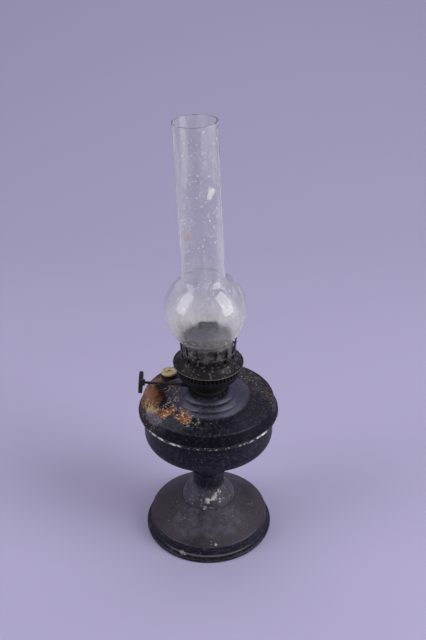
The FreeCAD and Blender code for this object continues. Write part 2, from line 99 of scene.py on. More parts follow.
GLASS_RUST = colour(186, 128, 92)
GLASS_OLIVE = colour(104, 95, 70)
# Soot on the fitter, dark enough to be painted shade as well
SOOT_AND_SHADE_ON_GLASS = colour(17, 15, 15)

# Colours of the studio
PAPER = colour(170, 164, 194)
FILL_LIGHT = colour(182, 176, 210)
SEEN_BACKGROUND = colour(158, 152, 184)

# Gloss of the finishes, given as roughness
POLISHED = 0.4
RUBBED = 0.45
WORN = 0.5
FILMED = 0.55
DULL = 0.6
GRIMY = 0.65
DUSTY = 0.7
STAINED = 0.75
GRITTY = 0.8
CRUSTED = 0.85
FIBROUS = 0.9
BURNT = 0.95

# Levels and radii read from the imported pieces
LOW, HIGH = 0, 1
foot_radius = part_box("foot")[HIGH].x
seam_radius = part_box("font_bowl")[HIGH].x
seam_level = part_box("font_shoulder")[LOW].z
edge_radius = seam_radius - 4.9 * MM
edge_level = seam_level + 14.2 * MM
plate_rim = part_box("gallery_plate")[HIGH]
crown_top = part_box("gallery_crown")[HIGH].z
cap_low, cap_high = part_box("filler_cap")
chimney_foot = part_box("chimney")[LOW].z
wick_low, wick_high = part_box("wick")


class Surface:
    """One material, built up in layers: each layer covers what lies under it."""

    def __init__(self, name, base, rough, metal=0.0):
        self.material = bpy.data.materials.new(name)
        self.material.use_nodes = True
        self.tree = self.material.node_tree
        self.shader = self.tree.nodes["Principled BSDF"]
        self.output = self.tree.nodes["Material Output"]
        self.place = self.node("ShaderNodeTexCoord").outputs["Object"]
        self.x, self.y, self.z = self.node("ShaderNodeSeparateXYZ", {0: self.place}).outputs
        self.base = base
        self.rough = rough
        self.metal = metal
        self.height = 0.0

    def feed(self, socket, value):
        """Link a socket to another, or set it where the value is the same all over."""
        if isinstance(value, bpy.types.NodeSocket):
            self.tree.links.new(value, socket)
        else:
            socket.default_value = value

    def node(self, kind, inputs=None, **settings):
        made = self.tree.nodes.new(kind)
        for key, value in settings.items():
            setattr(made, key, value)
        for key, value in (inputs or {}).items():
            self.feed(made.inputs[key], value)
        return made

    def math(self, operation, first, second=0.0, third=0.0):
        inputs = {0: first, 1: second, 2: third}
        return self.node("ShaderNodeMath", inputs, operation=operation).outputs[0]

    def times(self, *values):
        product = values[0]
        for value in values[1:]:
            product = self.math("MULTIPLY", product, value)
        return product

    def vector(self, operation, first, second):
        return self.node("ShaderNodeVectorMath", {0: first, 1: second}, operation=operation).outputs[0]

    def between(self, value, low, high):
        """0 at low and 1 at high, smooth between them, either way round."""
        inputs = {"Value": value, "From Min": low, "From Max": high}
        return self.node("ShaderNodeMapRange", inputs, interpolation_type="SMOOTHSTEP").outputs["Result"]

    def stretched(self, x, y, z):
        return self.vector("MULTIPLY", self.place, (x, y, z))

    def noise(self, scale, detail=4.0, rough=0.55, place=None):
        inputs = {"Vector": place or self.place, "Scale": scale, "Detail": detail, "Roughness": rough}
        return self.node("ShaderNodeTexNoise", inputs).outputs[0]

    def patches(self, scale, low, high, detail=4.0, rough=0.55):
        """Ragged patches of noise: 0 where it is under low, 1 where it is over high."""
        return self.between(self.noise(scale, detail, rough), low, high)

    def uneven(self, level, reach, scale, detail=4.0, rough=0.55):
        """A level that noise lifts by up to reach, so that what it bounds has a ragged edge."""
        return self.math("MULTIPLY_ADD", self.noise(scale, detail, rough), reach, level)

    def warped(self, scale, reach):
        """The place, pushed about by noise, so that what is laid by it has a ragged edge."""
        inputs = {"Vector": self.place, "Scale": scale, "Detail": 5.0, "Roughness": 0.65}
        swirl = self.node("ShaderNodeTexNoise", inputs).outputs["Color"]
        push = self.vector("SUBTRACT", swirl, (0.5, 0.5, 0.5))
        push = self.vector("MULTIPLY", push, (reach, reach, reach))
        return self.vector("ADD", self.place, push)

    def distance(self, place, point):
        inputs = {0: place, 1: point}
        return self.node("ShaderNodeVectorMath", inputs, operation="DISTANCE").outputs["Value"]

    def spots(self, place, marks):
        """1 inside the marks, fading to their edges; each has its middle and reach in millimetres."""
        core = 0.45
        share = 0.0
        for x, y, z, reach in marks:
            away = self.distance(place, (x * MM, y * MM, z * MM))
            share = self.math("MAXIMUM", share, self.between(away, reach * MM, core * reach * MM))
        return share

    def specks(self, scale, size, share):
        """1 on scattered dots: a share of the cells of an uneven grid holds one, size across in cells."""
        cells = self.node("ShaderNodeTexVoronoi", {"Vector": self.place, "Scale": scale})
        lot = self.node("ShaderNodeSeparateColor", {0: cells.outputs["Color"]}).outputs[0]
        dot = self.between(cells.outputs["Distance"], size / 2, size / 4)
        return self.times(dot, self.math("LESS_THAN", lot, share))

    def flakes(self, scale, share):
        """1 on a share of ragged flakes, scale of them to a metre."""
        ragged = self.warped(900, 1.6 * MM)
        cells = self.node("ShaderNodeTexVoronoi", {"Vector": ragged, "Scale": scale})
        lot = self.node("ShaderNodeSeparateColor", {0: cells.outputs["Color"]}).outputs[1]
        return self.math("LESS_THAN", lot, share)

    def radius(self):
        flat = self.stretched(1.0, 1.0, 0.0)
        return self.distance(flat, (0.0, 0.0, 0.0))

    def ring(self, ring_radius, level, reach):
        """1 on a ring round the lamp's axis, fading out with distance from it."""
        core = 0.3
        across = self.math("SUBTRACT", self.radius(), ring_radius)
        up = self.math("SUBTRACT", self.z, level)
        away = self.math("SQRT", self.math("ADD", self.times(across, across), self.times(up, up)))
        return self.between(away, reach, core * reach)

    def mixed(self, share, under, over):
        made = self.node("ShaderNodeMix", data_type="RGBA")
        self.feed(made.inputs[0], share)
        self.feed(made.inputs[6], under)
        self.feed(made.inputs[7], over)
        return made.outputs[2]

    def faded(self, share, under, over):
        """A number that goes from under to over; one that stays the same needs no node."""
        if under == over:
            return under
        made = self.node("ShaderNodeMix", data_type="FLOAT")
        self.feed(made.inputs[0], share)
        self.feed(made.inputs[2], under)
        self.feed(made.inputs[3], over)
        return made.outputs[0]

    def sheen(self, level):
        """How strongly the surface mirrors; 0.5 is that of fresh varnish."""
        self.feed(self.shader.inputs["Specular IOR Level"], level)

    def cover(self, share, over, rough, lift=0.0, metal=0.0, opacity=1.0):
        """Lay a film of another colour, gloss and height where share is 1."""
        if opacity < 1.0:
            share = self.times(share, opacity)
        self.base = self.mixed(share, self.base, over)
        self.rough = self.faded(share, self.rough, rough)
        self.metal = self.faded(share, self.metal, metal)
        self.raise_by(share, lift)

    def raise_by(self, share, lift):
        self.height = self.math("MULTIPLY_ADD", share, lift, self.height)

    def done(self):
        self.feed(self.shader.inputs["Base Color"], self.base)
        self.feed(self.shader.inputs["Roughness"], self.rough)
        self.feed(self.shader.inputs["Metallic"], self.metal)
        bump = self.node("ShaderNodeBump", {"Height": self.height, "Distance": 1.0})
        self.feed(self.shader.inputs["Normal"], bump.outputs[0])
        return self.material


class Glass(Surface):
    """Clear glass under thin dull films, which keep light from shining through."""

    def __init__(self, name):
        super().__init__(name, CLEAR_GLASS, 0.0)
        self.covered = 0.0
        self.above = self.math("SUBTRACT", self.z, chimney_foot)

    def film(self, share, tint, opacity=1.0):
        if opacity < 1.0:
            share = self.times(share, opacity)
        self.base = self.mixed(share, self.base, tint)
        self.covered = self.math("MAXIMUM", self.covered, share)


def painted(name, gloss):
    """Old black paint: uneven in tone and gloss, pitted, with grime, dust and a few pale specks."""
    coat = Surface(name, BLACK_PAINT, gloss)
    coat.sheen(0.25)
    # The paint's reflections are tinted bluish: a painted reflection colour
    coat.shader.inputs["Specular Tint"].default_value = LILAC_REFLECTION_TINT
    coat.cover(coat.patches(24, 0.42, 0.68), BLUE_PAINT, gloss - 0.05, opacity=0.8)
    coat.cover(coat.patches(100, 0.5, 0.72, 7, 0.65), BROWN_GRIME, gloss + 0.2, opacity=0.7)
    coat.cover(coat.patches(300, 0.52, 0.64, 7, 0.75), GREY_DUST, DUSTY, opacity=0.3)
    coat.cover(coat.flakes(620, 0.09), GREY_DUST, DUSTY, lift=0.03 * MM, opacity=0.22)
    coat.cover(coat.specks(330, 0.42, 0.02), PALE_METAL, DULL, lift=-0.02 * MM, opacity=0.7)
    coat.raise_by(coat.noise(260, 6), 0.08 * MM)
    coat.raise_by(coat.noise(900, 3), 0.04 * MM)
    return coat


def chip_edge(coat, ring_radius, level, reach, amount):
    """Paint worn off along a ring: broken flecks of pale metal beside brown edges."""
    along = coat.ring(ring_radius, level, reach)
    flecks = coat.noise(330, 6, 0.75)
    brown = coat.times(along, coat.between(flecks, 0.60 - amount, 0.68 - amount))
    coat.cover(brown, OLIVE_GRIME, DULL, lift=-0.02 * MM)
    bare = coat.times(along, coat.between(flecks, 0.68 - amount, 0.72 - amount))
    coat.cover(bare, PALE_METAL, RUBBED, lift=-0.04 * MM)


def turning_marks(coat, depth):
    """Fine rings left by spinning the sheet over a former."""
    rings_to_metre = 1400.0
    across = coat.times(coat.radius(), rings_to_metre)
    up = coat.times(coat.z, rings_to_metre)
    rings = coat.node("ShaderNodeCombineXYZ", {0: across, 1: up})
    coat.raise_by(coat.noise(1.0, 3, place=rings.outputs[0]), depth)


def disc_dirt(coat, on_disc):
    """A dull brown film on the foot's disc, a pale bluish painted highlight over its front, grain and pale
    specks.
    """
    film = coat.times(on_disc, coat.patches(30, 0.22, 0.55, 7, 0.6))
    coat.cover(film, FOOT_FILM, DULL, opacity=0.85)
    grain = coat.times(on_disc, coat.patches(420, 0.48, 0.66, 5, 0.7))
    coat.cover(grain, BROWN_GRIME, DUSTY, lift=0.03 * MM, opacity=0.5)
    # Painted highlight: a patchy pale bluish haze laid over the front of the disc, where it catches the
    # light
    front_highlight_marks = [(-22, -36, 32, 26), (6, -40, 31, 24), (24, -34, 32, 22)]
    front_highlight_area = coat.spots(coat.warped(60, 16 * MM), front_highlight_marks)
    front_highlight_share = coat.times(front_highlight_area, coat.patches(140, 0.36, 0.66, 6, 0.7))
    coat.cover(front_highlight_share, HAZE_AND_HIGHLIGHT, FILMED, opacity=0.7)
    ash = coat.times(on_disc, coat.specks(380, 0.5, 0.14))
    coat.cover(ash, ASH, DULL, lift=0.02 * MM, opacity=0.55)
    speck_marks = [(-33, -14, 33, 14), (-27, -31, 30, 15), (20, -30, 31, 13)]
    speck_marks += [(44, -12, 26, 15), (4, -58, 20, 8)]
    crowded = coat.times(coat.spots(coat.place, speck_marks), coat.specks(420, 0.42, 0.3))
    coat.cover(crowded, PALE_METAL, WORN, lift=-0.03 * MM, opacity=0.85)
    scattered = coat.times(on_disc, coat.specks(110, 0.12, 0.35))
    coat.cover(scattered, PALE_METAL, WORN, lift=-0.03 * MM, opacity=0.85)


def rim_wear(coat, crease_radius, crease_level):
    """Painted highlight lines along the foot's crease and the front of its step, and chips along the
    crease, step and rim.
    """
    step_radius = foot_radius - 2.7 * MM
    step_level = 7.4 * MM
    # Painted highlight: a faint pale line along the crease
    crease_highlight = coat.ring(crease_radius, crease_level + 0.4 * MM, 1.3 * MM)
    coat.cover(crease_highlight, HAZE_AND_HIGHLIGHT, WORN, opacity=0.5)
    chip_edge(coat, crease_radius, crease_level, 1.6 * MM, 0.0)
    # Painted highlight: a pale grey line along the step, on its front only
    front = coat.between(coat.y, -44 * MM, -60 * MM)
    front_step_highlight = coat.times(coat.ring(step_radius, step_level, 1.4 * MM), front)
    coat.cover(front_step_highlight, ASH, WORN, opacity=0.6)
    chip_edge(coat, step_radius, step_level, 1.3 * MM, 0.05)
    chip_edge(coat, foot_radius - 0.8 * MM, 3.2 * MM, 1.8 * MM, 0.03)
    ragged = coat.warped(420, 5 * MM)
    grey_chips = [(-16, -65, 7, 3), (11, -66, 7, 3), (-5, -64, 15, 2), (-65, -17, 5, 3), (-40, -54, 5, 3)]
    coat.cover(coat.spots(ragged, grey_chips), HAZE_AND_HIGHLIGHT, WORN, lift=-0.04 * MM, opacity=0.6)
    cream_chips = [(-29, -60, 7, 3), (-26, -62, 6, 2), (8, -61, 19, 2)]
    cream = coat.times(coat.spots(ragged, cream_chips), coat.patches(900, 0.40, 0.50, 3))
    coat.cover(cream, PALE_METAL, DULL, lift=-0.05 * MM, opacity=0.9)


def foot_paint():
    """The foot: filmed over on its disc, chipped along its stepped rim."""
    coat = painted("foot_paint", 0.44)
    crease_radius = foot_radius - 5.6 * MM
    crease_level = 17 * MM
    on_disc = coat.between(coat.z, crease_level, crease_level + 1.5 * MM)
    disc_dirt(coat, on_disc)
    rim_wear(coat, crease_radius, crease_level)
    turning_marks(coat, 0.05 * MM)
    return coat.done()


def stem_paint():
    """The stem: smooth black above, filmed over on its boss, with paint flaked off its front."""
    coat = painted("stem_paint", 0.45)
    on_boss = coat.between(coat.z, 62 * MM, 52 * MM)
    film = coat.times(on_boss, coat.patches(60, 0.26, 0.56, 7, 0.6))
    coat.cover(film, HAZE_AND_HIGHLIGHT, FILMED, opacity=0.6)
    right = coat.between(coat.x, -4 * MM, 14 * MM)
    worn = coat.times(on_boss, right, coat.patches(170, 0.42, 0.60, 6, 0.7))
    coat.cover(worn, OLIVE_GRIME, DULL, opacity=0.6)
    bare_marks = [(-1, -24, 47, 4), (8, -20, 53, 4), (12, -16, 54, 3), (12, -22, 46, 3), (3, -24, 49, 3)]
    bare_marks += [(-4, -27, 40, 3), (6, -22, 50, 4)]
    bare = coat.times(coat.spots(coat.warped(260, 5 * MM), bare_marks), coat.flakes(700, 0.6))
    coat.cover(bare, PALE_METAL, WORN, lift=-0.03 * MM, opacity=0.85)
    coat.cover(coat.times(on_boss, coat.flakes(600, 0.07)), ASH, WORN, lift=-0.02 * MM, opacity=0.6)
    turning_marks(coat, 0.04 * MM)
    return coat.done()


def socket_paint():
    """The stem's ring and the font's socket: plain black with turning marks."""
    coat = painted("socket_paint", 0.45)
    turning_marks(coat, 0.04 * MM)
    return coat.done()


def seam_wear(coat):
    """Paint rubbed off the font's seam bead, with bright bare metal at the left front and the right front
    that is also painted glints of the lamps.
    """
    level = seam_level + 0.8 * MM
    chip_edge(coat, seam_radius, level, 1.6 * MM, 0.13)
    # Partly painted highlight: bright bare metal laid where the lamps glint on the bead
    bright_marks = [(-57, -46, 157, 9), (-45, -58, 157, 9), (-34, -65, 157, 9)]
    bright_marks += [(40, -61, 157, 6), (54, -50, 157, 12)]
    seam_glint_spots = coat.times(coat.ring(seam_radius, level, 1.8 * MM), coat.spots(coat.place, bright_marks))
    rubbed = coat.times(seam_glint_spots, coat.patches(260, 0.46, 0.54, 5, 0.7))
    coat.cover(rubbed, BARE_METAL, POLISHED, lift=-0.03 * MM)


def bowl_paint():
    """The bowl: deep black, dustier to the right, with a worn seam."""
    coat = painted("bowl_paint", 0.42)
    coat.sheen(0.2)
    right = coat.between(coat.x, -10 * MM, 60 * MM)
    dust = coat.times(coat.patches(170, 0.54, 0.70, 7, 0.72), right)
    coat.cover(dust, OLIVE_GRIME, GRIMY, opacity=0.5)
    rust = coat.times(coat.specks(200, 0.5, 0.12), coat.patches(160, 0.45, 0.6))
    coat.cover(rust, BROWN_RUST, DUSTY, lift=0.05 * MM, opacity=0.5)
    seam_wear(coat)
    return coat.done()


def back_grit(coat, ragged, crust):
    """Olive grit on the back right of the shoulder and down its left side."""
    marks = [(46, 24, 171, 17), (48, 12, 171, 13), (59, 13, 170, 14), (42, 36, 171, 16)]
    marks += [(28, 52, 170, 15), (64, -3, 169, 9), (68, -14, 168, 8)]
    marks += [(-70, -8, 163, 15), (-66, -28, 162, 14), (-58, -42, 160, 12)]
    gritty = coat.spots(ragged, marks)
    olive = coat.times(gritty, coat.between(crust, 0.42, 0.58))
    coat.cover(olive, OLIVE_GRIME, GRITTY, lift=0.12 * MM, opacity=0.45)
    grains = [
        (520, 0.12, BROWN_RUST, 0.45),
        (700, 0.12, ASH, 0.4),
        (820, 0.05, PALE_GRIT, 0.7),
    ]
    for scale, share, tint, opacity in grains:
        flakes = coat.times(gritty, coat.flakes(scale, share))
        coat.cover(flakes, tint, GRITTY, lift=0.1 * MM, opacity=opacity)


def rust_stain(coat, ragged, crust):
    """Teal, brown, orange and tan stains on the shoulder's left, under the knob."""
    teal_marks = [(-43, -46, 170, 13), (-36, -44, 170, 13), (-30, -51, 169, 12), (-48, -50, 168, 11)]
    teal = coat.times(coat.spots(ragged, teal_marks), coat.between(crust, 0.36, 0.58))
    coat.cover(teal, TEAL_GRIME, STAINED, lift=0.05 * MM, opacity=0.7)
    rust_marks = [(-62, 19, 169, 16), (-57, 25, 170, 14), (-60, 4, 169, 18), (-56, -8, 169, 15)]
    rust_marks += [(-49, 28, 170, 12), (-64, -10, 168, 12), (-57, -22, 169, 12)]
    rusty = coat.spots(ragged, rust_marks)
    brown = coat.times(rusty, coat.between(crust, 0.24, 0.44))
    coat.cover(brown, BROWN_RUST, CRUSTED, lift=0.1 * MM)
    glow_marks = [(-58, -1, 169, 18), (-54, 10, 170, 16), (-60, 4, 169, 16), (-54, -8, 169, 15)]
    glow = coat.times(coat.spots(ragged, glow_marks), coat.patches(75, 0.26, 0.52, 6, 0.65))
    coat.cover(glow, ORANGE_RUST, CRUSTED, lift=0.1 * MM, opacity=0.9)
    tan_marks = [(-66, 8, 169, 11), (-62, 19, 169, 12), (-57, 25, 170, 11), (-64, -3, 169, 10)]
    tan_marks += [(-49, 29, 170, 10), (-39, 27, 171, 8)]
    tan = coat.times(coat.spots(ragged, tan_marks), coat.between(crust, 0.30, 0.50))
    coat.cover(tan, TAN_RUST, CRUSTED, lift=0.05 * MM, opacity=0.85)
    coat.cover(coat.times(rusty, coat.flakes(560, 0.22)), BROWN_RUST, CRUSTED, lift=0.05 * MM, opacity=0.7)


def rust_crust(coat, ragged, crust):
    """Black crust beside the dome, with brown specks and pink scale."""
    crust_marks = [(-47, 13, 170, 11), (-46, 1, 170, 10), (-44, -12, 171, 11), (-42, 10, 171, 12)]
    crust_marks += [(-48, 21, 170, 8), (-42, -21, 170, 10), (-48, -24, 170, 7), (-38, 6, 171, 12)]
    crust_marks += [(-37, -5, 171, 11), (-37, -17, 171, 10), (-33, 8, 173, 10), (-32, -4, 173, 10)]
    crust_marks += [(-31, -15, 173, 10), (-31, -24, 172, 8)]
    crusted = coat.spots(ragged, crust_marks)
    black = coat.times(crusted, coat.between(crust, 0.24, 0.40))
    coat.cover(black, BLACK_RUST, CRUSTED, lift=0.2 * MM)
    brown = coat.times(crusted, coat.specks(340, 0.7, 0.2))
    coat.cover(brown, BROWN_RUST, CRUSTED, lift=0.1 * MM, opacity=0.7)
    scale_marks = [(-41, 6, 171, 9), (-39, -3, 171, 9), (-38, -12, 171, 9), (-38, -19, 171, 9)]
    scale_marks += [(-42, -19, 170, 8), (-37, 12, 171, 8), (-47, -21, 170, 7), (-35, -15, 171, 7)]
    scale_marks += [(-33, 0, 173, 8), (-32, -12, 173, 8)]
    pink = coat.times(coat.spots(ragged, scale_marks), coat.flakes(680, 0.24))
    coat.cover(pink, PINK_RUST, CRUSTED, lift=0.1 * MM, opacity=0.55)


def rust_front(coat, ragged, crust):
    """Cream and lilac scale at the front of the rust, bright flakes and a pale trail beside it."""
    cream_marks = [(-64, -10, 169, 7), (-60, -17, 169, 9), (-59, -24, 169, 9), (-54, -27, 169, 7)]
    cream = coat.times(coat.spots(ragged, cream_marks), coat.flakes(600, 0.66))
    coat.cover(cream, CREAM_SCALE, GRITTY, lift=0.15 * MM, opacity=0.8)
    lilac_marks = [(-57, -31, 169, 9), (-54, -38, 169, 8), (-49, -43, 169, 8), (-59, -39, 167, 7)]
    lilac = coat.times(coat.spots(ragged, lilac_marks), coat.between(crust, 0.36, 0.54))
    coat.cover(lilac, LILAC_SCALE, DUSTY, opacity=0.8)
    bright_marks = [(-48, -31, 170, 7), (-44, -34, 170, 7), (-40, -31, 170, 7), (-36, -26, 170, 6)]
    bright_marks += [(-26, -29, 171, 5), (-23, -33, 171, 6), (-28, -39, 170, 8), (-23, -43, 170, 8)]
    bright = coat.spots(coat.warped(150, 10 * MM), bright_marks)
    brown = coat.times(bright, coat.between(crust, 0.36, 0.52))
    coat.cover(brown, BROWN_RUST, GRITTY, lift=0.1 * MM, opacity=0.8)
    flakes = [
        (480, 0.45, ORANGE_RUST, GRITTY, 0.1, 0.8),
        (600, 0.26, BRIGHT_RUST, GRITTY, 0.15, 0.75),
        (720, 0.05, BARE_METAL, DULL, 0.1, 0.7),
    ]
    for scale, share, tint, rough, lift, opacity in flakes:
        flaked = coat.times(bright, coat.flakes(scale, share))
        coat.cover(flaked, tint, rough, lift=lift * MM, opacity=opacity)
    trail_marks = [(-17, -39, 171, 8), (-11, -44, 170, 8), (-15, -51, 170, 8), (-21, -49, 170, 8)]
    trail_marks += [(-10, -34, 171, 6)]
    trail = coat.times(coat.spots(ragged, trail_marks), coat.flakes(760, 0.22))
    coat.cover(trail, PALE_GRIT, DUSTY, lift=0.05 * MM, opacity=0.7)


def shoulder_paint():
    """The font's top: oily on its dome, with painted shade darkening its side, rusted under the knob and
    gritty behind.
    """
    coat = painted("shoulder_paint", 0.38)
    side = coat.between(coat.z, edge_level - 0.4 * MM, edge_level - 2.0 * MM)
    dome = coat.between(coat.z, edge_level + 2.0 * MM, edge_level + 3.5 * MM)
    ledge_sheen, dome_sheen, side_sheen = 0.2, 0.95, 0.08
    coat.sheen(coat.faded(side, coat.faded(dome, ledge_sheen, dome_sheen), side_sheen))
    # Painted shade: the side below the edge is darkened with black paint
    coat.cover(side, BLACK_PAINT, WORN, opacity=0.6)
    chip_edge(coat, edge_radius, edge_level, 1.2 * MM, -0.03)
    ragged = coat.warped(110, 24 * MM)
    crust = coat.noise(330, 8, 0.75)
    back_grit(coat, ragged, crust)
    rust_stain(coat, ragged, crust)
    rust_crust(coat, ragged, crust)
    rust_front(coat, ragged, crust)
    turning_marks(coat, 0.04 * MM)
    return coat.done()


def burnt_brass(name, soot, ash):
    """Burner sheet: brass gone black with heat and oil, with pale ash and rubbed specks."""
    coat = Surface(name, DARK_BRASS, 0.42, metal=0.3)
    coat.sheen(0.2)
    coat.cover(coat.patches(150, 0.52, 0.68, 6, 0.65), OLIVE_BRASS, WORN, metal=0.4)
    coat.cover(coat.patches(70, 0.38, 0.58, 6), SOOT, DUSTY, opacity=soot)
    coat.cover(coat.patches(500, 0.60, 0.70, 6, 0.75), ASH, DUSTY, lift=0.04 * MM, opacity=ash)
    coat.cover(coat.specks(420, 0.4, 0.05), PALE_METAL, POLISHED, metal=0.6, opacity=0.8)
    coat.raise_by(coat.noise(420, 5), 0.08 * MM)
    return coat


def crown_brass():
    """The crown: sooty, with its prongs rubbed paler by the glass."""
    coat = burnt_brass("crown_brass", soot=0.95, ash=0.5)
    on_prongs = coat.between(coat.z, crown_top - 13 * MM, crown_top - 9 * MM)
    rubbed = coat.times(on_prongs, coat.patches(260, 0.38, 0.56, 5))
    coat.cover(rubbed, ASH, RUBBED, metal=0.5, opacity=0.7)
    coat.cover(coat.flakes(560, 0.12), ASH, DULL, opacity=0.4)
    return coat.done()


def plate_brass():
    """The gallery's plate, with a pale line round its rim that is a painted highlight of the edge, and
    chips of bare metal along it.
    """
    coat = burnt_brass("plate_brass", soot=0.85, ash=0.6)
    coat.cover(coat.flakes(480, 0.10), ASH, DULL, lift=0.03 * MM, opacity=0.35)
    # Painted highlight: a pale rubbed line all round the rim's edge
    rim_highlight_line = coat.ring(plate_rim.x, plate_rim.z, 0.8 * MM)
    coat.cover(rim_highlight_line, ASH, RUBBED, metal=0.5, opacity=0.6)
    chip_edge(coat, plate_rim.x, plate_rim.z, 0.9 * MM, 0.04)
    return coat.done()


def inner_brass():
    """Inner brass that has kept some colour."""
    coat = Surface("inner_brass", OLD_BRASS, 0.38, metal=0.9)
    coat.cover(coat.patches(140, 0.45, 0.65, 5), DARK_BRASS, FILMED, metal=0.5)
    coat.raise_by(coat.noise(600, 4), 0.03 * MM)
    return coat.done()


def black_steel():
    """The knob and its shaft: blackened, with rust and a few bare specks."""
    coat = Surface("black_steel", BLACK_STEEL, WORN, metal=0.5)
    coat.cover(coat.patches(260, 0.54, 0.7, 5), BROWN_RUST, STAINED)
    coat.cover(coat.patches(900, 0.66, 0.7, 3), PALE_METAL, POLISHED, metal=0.7)
    coat.raise_by(coat.noise(500, 5), 0.06 * MM)
    return coat.done()


def bare_steel():
    """The sprockets: bare, with rust."""
    coat = Surface("bare_steel", BARE_STEEL, POLISHED, metal=0.9)
    coat.cover(coat.patches(400, 0.5, 0.66, 5), BROWN_RUST, STAINED)
    return coat.done()


def scaled_filler():
    """The filler's soft metal, crusted cream and ochre with dark pits."""
    coat = Surface("scaled_filler", PALE_SCALE, STAINED, metal=0.1)
    coat.cover(coat.patches(230, 0.44, 0.60, 6, 0.7), OCHRE_SCALE, GRITTY, lift=0.08 * MM)
    level = coat.uneven(coat.z, 2.4 * MM, 300)
    brown_foot = coat.between(level, cap_low.z + 2.6 * MM, cap_low.z + 1.4 * MM)
    coat.cover(brown_foot, BROWN_RUST, CRUSTED)
    black_foot = coat.between(level, cap_low.z + 1.9 * MM, cap_low.z + 1.2 * MM)
    coat.cover(black_foot, BLACK_RUST, CRUSTED)
    coat.cover(coat.patches(420, 0.60, 0.68, 5), BROWN_RUST, CRUSTED, lift=-0.08 * MM)
    vent = (cap_low + cap_high) / 2
    from_vent = coat.distance(coat.place, (vent.x, vent.y, cap_high.z))
    coat.cover(coat.between(from_vent, 1.7 * MM, 0.9 * MM), BLACK_RUST, CRUSTED)
    return coat.done()


def leather():
    """The two washers: dark oiled leather."""
    coat = Surface("leather", LEATHER, STAINED)
    coat.cover(coat.patches(300, 0.45, 0.65, 6), DARK_LEATHER, GRITTY)
    coat.raise_by(coat.noise(1500, 4), 0.05 * MM)
    return coat.done()


def wick_cotton():
    """Cotton soaked with oil below and burnt black at the top."""
    coat = Surface("wick_cotton", COTTON, FIBROUS)
    coat.cover(coat.patches(200, 0.35, 0.65), OILED_COTTON, GRITTY)
    level = coat.uneven(coat.z, 5 * MM, 400, 3)
    scorched = coat.between(level, wick_high.z - 12 * MM, wick_high.z - 5 * MM)
    coat.cover(scorched, BROWN_RUST, FIBROUS)
    burnt = coat.between(level, wick_high.z - 6 * MM, wick_high.z - 1 * MM)
    coat.cover(burnt, CHARRED, BURNT)
    return coat.done()


def glass_dust(glass, on_ball):
    """Dust that has run down the tube in streaks, a film on the ball and chalky specks."""
    streaks = glass.noise(70, 6, 0.6, place=glass.stretched(1.0, 1.0, 0.1))
    clouds = glass.times(glass.patches(60, 0.40, 0.70, 6, 0.7), 0.04)
    glass.film(glass.math("MULTIPLY_ADD", glass.between(streaks, 0.46, 0.66), 0.13, clouds), GLASS_DUST)
    glass.film(glass.times(on_ball, glass.patches(110, 0.30, 0.70, 6, 0.7)), GLASS_DUST, opacity=0.07)
    low_ball = glass.between(glass.above, 80 * MM, 46 * MM)
    glass.film(glass.times(low_ball, glass.patches(200, 0.26, 0.74, 7, 0.75)), GLASS_CREAM, opacity=0.15)
    crowded = glass.patches(40, 0.38, 0.54, 3)
    glass.film(glass.times(glass.specks(170, 0.40, 0.6), crowded), GLASS_CHALK, opacity=0.5)
    glass.film(glass.times(glass.specks(420, 0.6, 0.3), crowded), GLASS_CHALK, opacity=0.4)


def glass_stains(glass):
    """A cream blotch high on the tube, a rusty one below it, and olive grit under the ball."""
    ragged = glass.warped(300, 9 * MM)
    cream = glass.spots(ragged, [(4, -17, 402, 5), (2, -18, 398, 4)])
    glass.film(glass.times(cream, glass.patches(520, 0.34, 0.58, 5, 0.7)), GLASS_CREAM, opacity=0.7)
    rust = glass.spots(ragged, [(-19, -17, 358, 6)])
    glass.film(glass.times(rust, glass.patches(420, 0.34, 0.56, 5)), GLASS_RUST, opacity=0.55)
    gritty = glass.between(glass.above, 60 * MM, 36 * MM)
    glass.film(glass.times(gritty, glass.patches(420, 0.46, 0.62, 5, 0.7)), GLASS_OLIVE, opacity=0.5)
    glass.film(glass.times(gritty, glass.specks(330, 0.6, 0.25)), GLASS_CREAM, opacity=0.5)
    glass.film(glass.between(glass.above, 42 * MM, 30 * MM), GLASS_OLIVE, opacity=0.3)


def glass_soot_and_shade(glass):
    """Patchy soot on the fitter, with a ragged upper edge, laid thick so it also paints in the shade of
    the burner behind the glass.
    """
    level = glass.uneven(glass.above, 12 * MM, 150, 5, 0.65)
    thickness = glass.faded(glass.patches(120, 0.34, 0.60, 6, 0.7), 0.62, 0.95)
    soot = glass.times(glass.between(level, 40 * MM, 30 * MM), thickness)
    glass.film(soot, SOOT_AND_SHADE_ON_GLASS)
    return soot


def chimney_glass():
    """Thin clear glass: dusty, streaked and specked, stained olive and sooty near the burner, where the
    soot is also painted shade.
    """
    glass = Glass("chimney_glass")
    on_ball = glass.between(glass.above, 96 * MM, 80 * MM)
    glass_dust(glass, on_ball)
    glass_stains(glass)
    soot = glass_soot_and_shade(glass)
    tube_rough, ball_rough, film_rough = 0.05, 0.06, 0.35
    glass.rough = glass.faded(glass.covered, glass.faded(on_ball, tube_rough, ball_rough), film_rough)
    glass.feed(glass.shader.inputs["Transmission Weight"], glass.math("SUBTRACT", 1.0, glass.covered))
    clear_sheen, soot_sheen = 0.5, 0.04
    glass.sheen(glass.faded(soot, clear_sheen, soot_sheen))
    glass.shader.inputs["IOR"].default_value = 1.48
    glass.raise_by(glass.noise(30, 2), 0.01 * MM)
    material = glass.done()
    let_through = glass.node("ShaderNodeBsdfTransparent", {"Color": GLASS_SHADOW})
    lamp_rays = glass.node("ShaderNodeLightPath").outputs["Is Shadow Ray"]
    shaders = {0: lamp_rays, 1: glass.shader.outputs[0], 2: let_through.outputs[0]}
    either = glass.node("ShaderNodeMixShader", shaders)
    glass.feed(glass.output.inputs["Surface"], either.outputs[0])
    return material


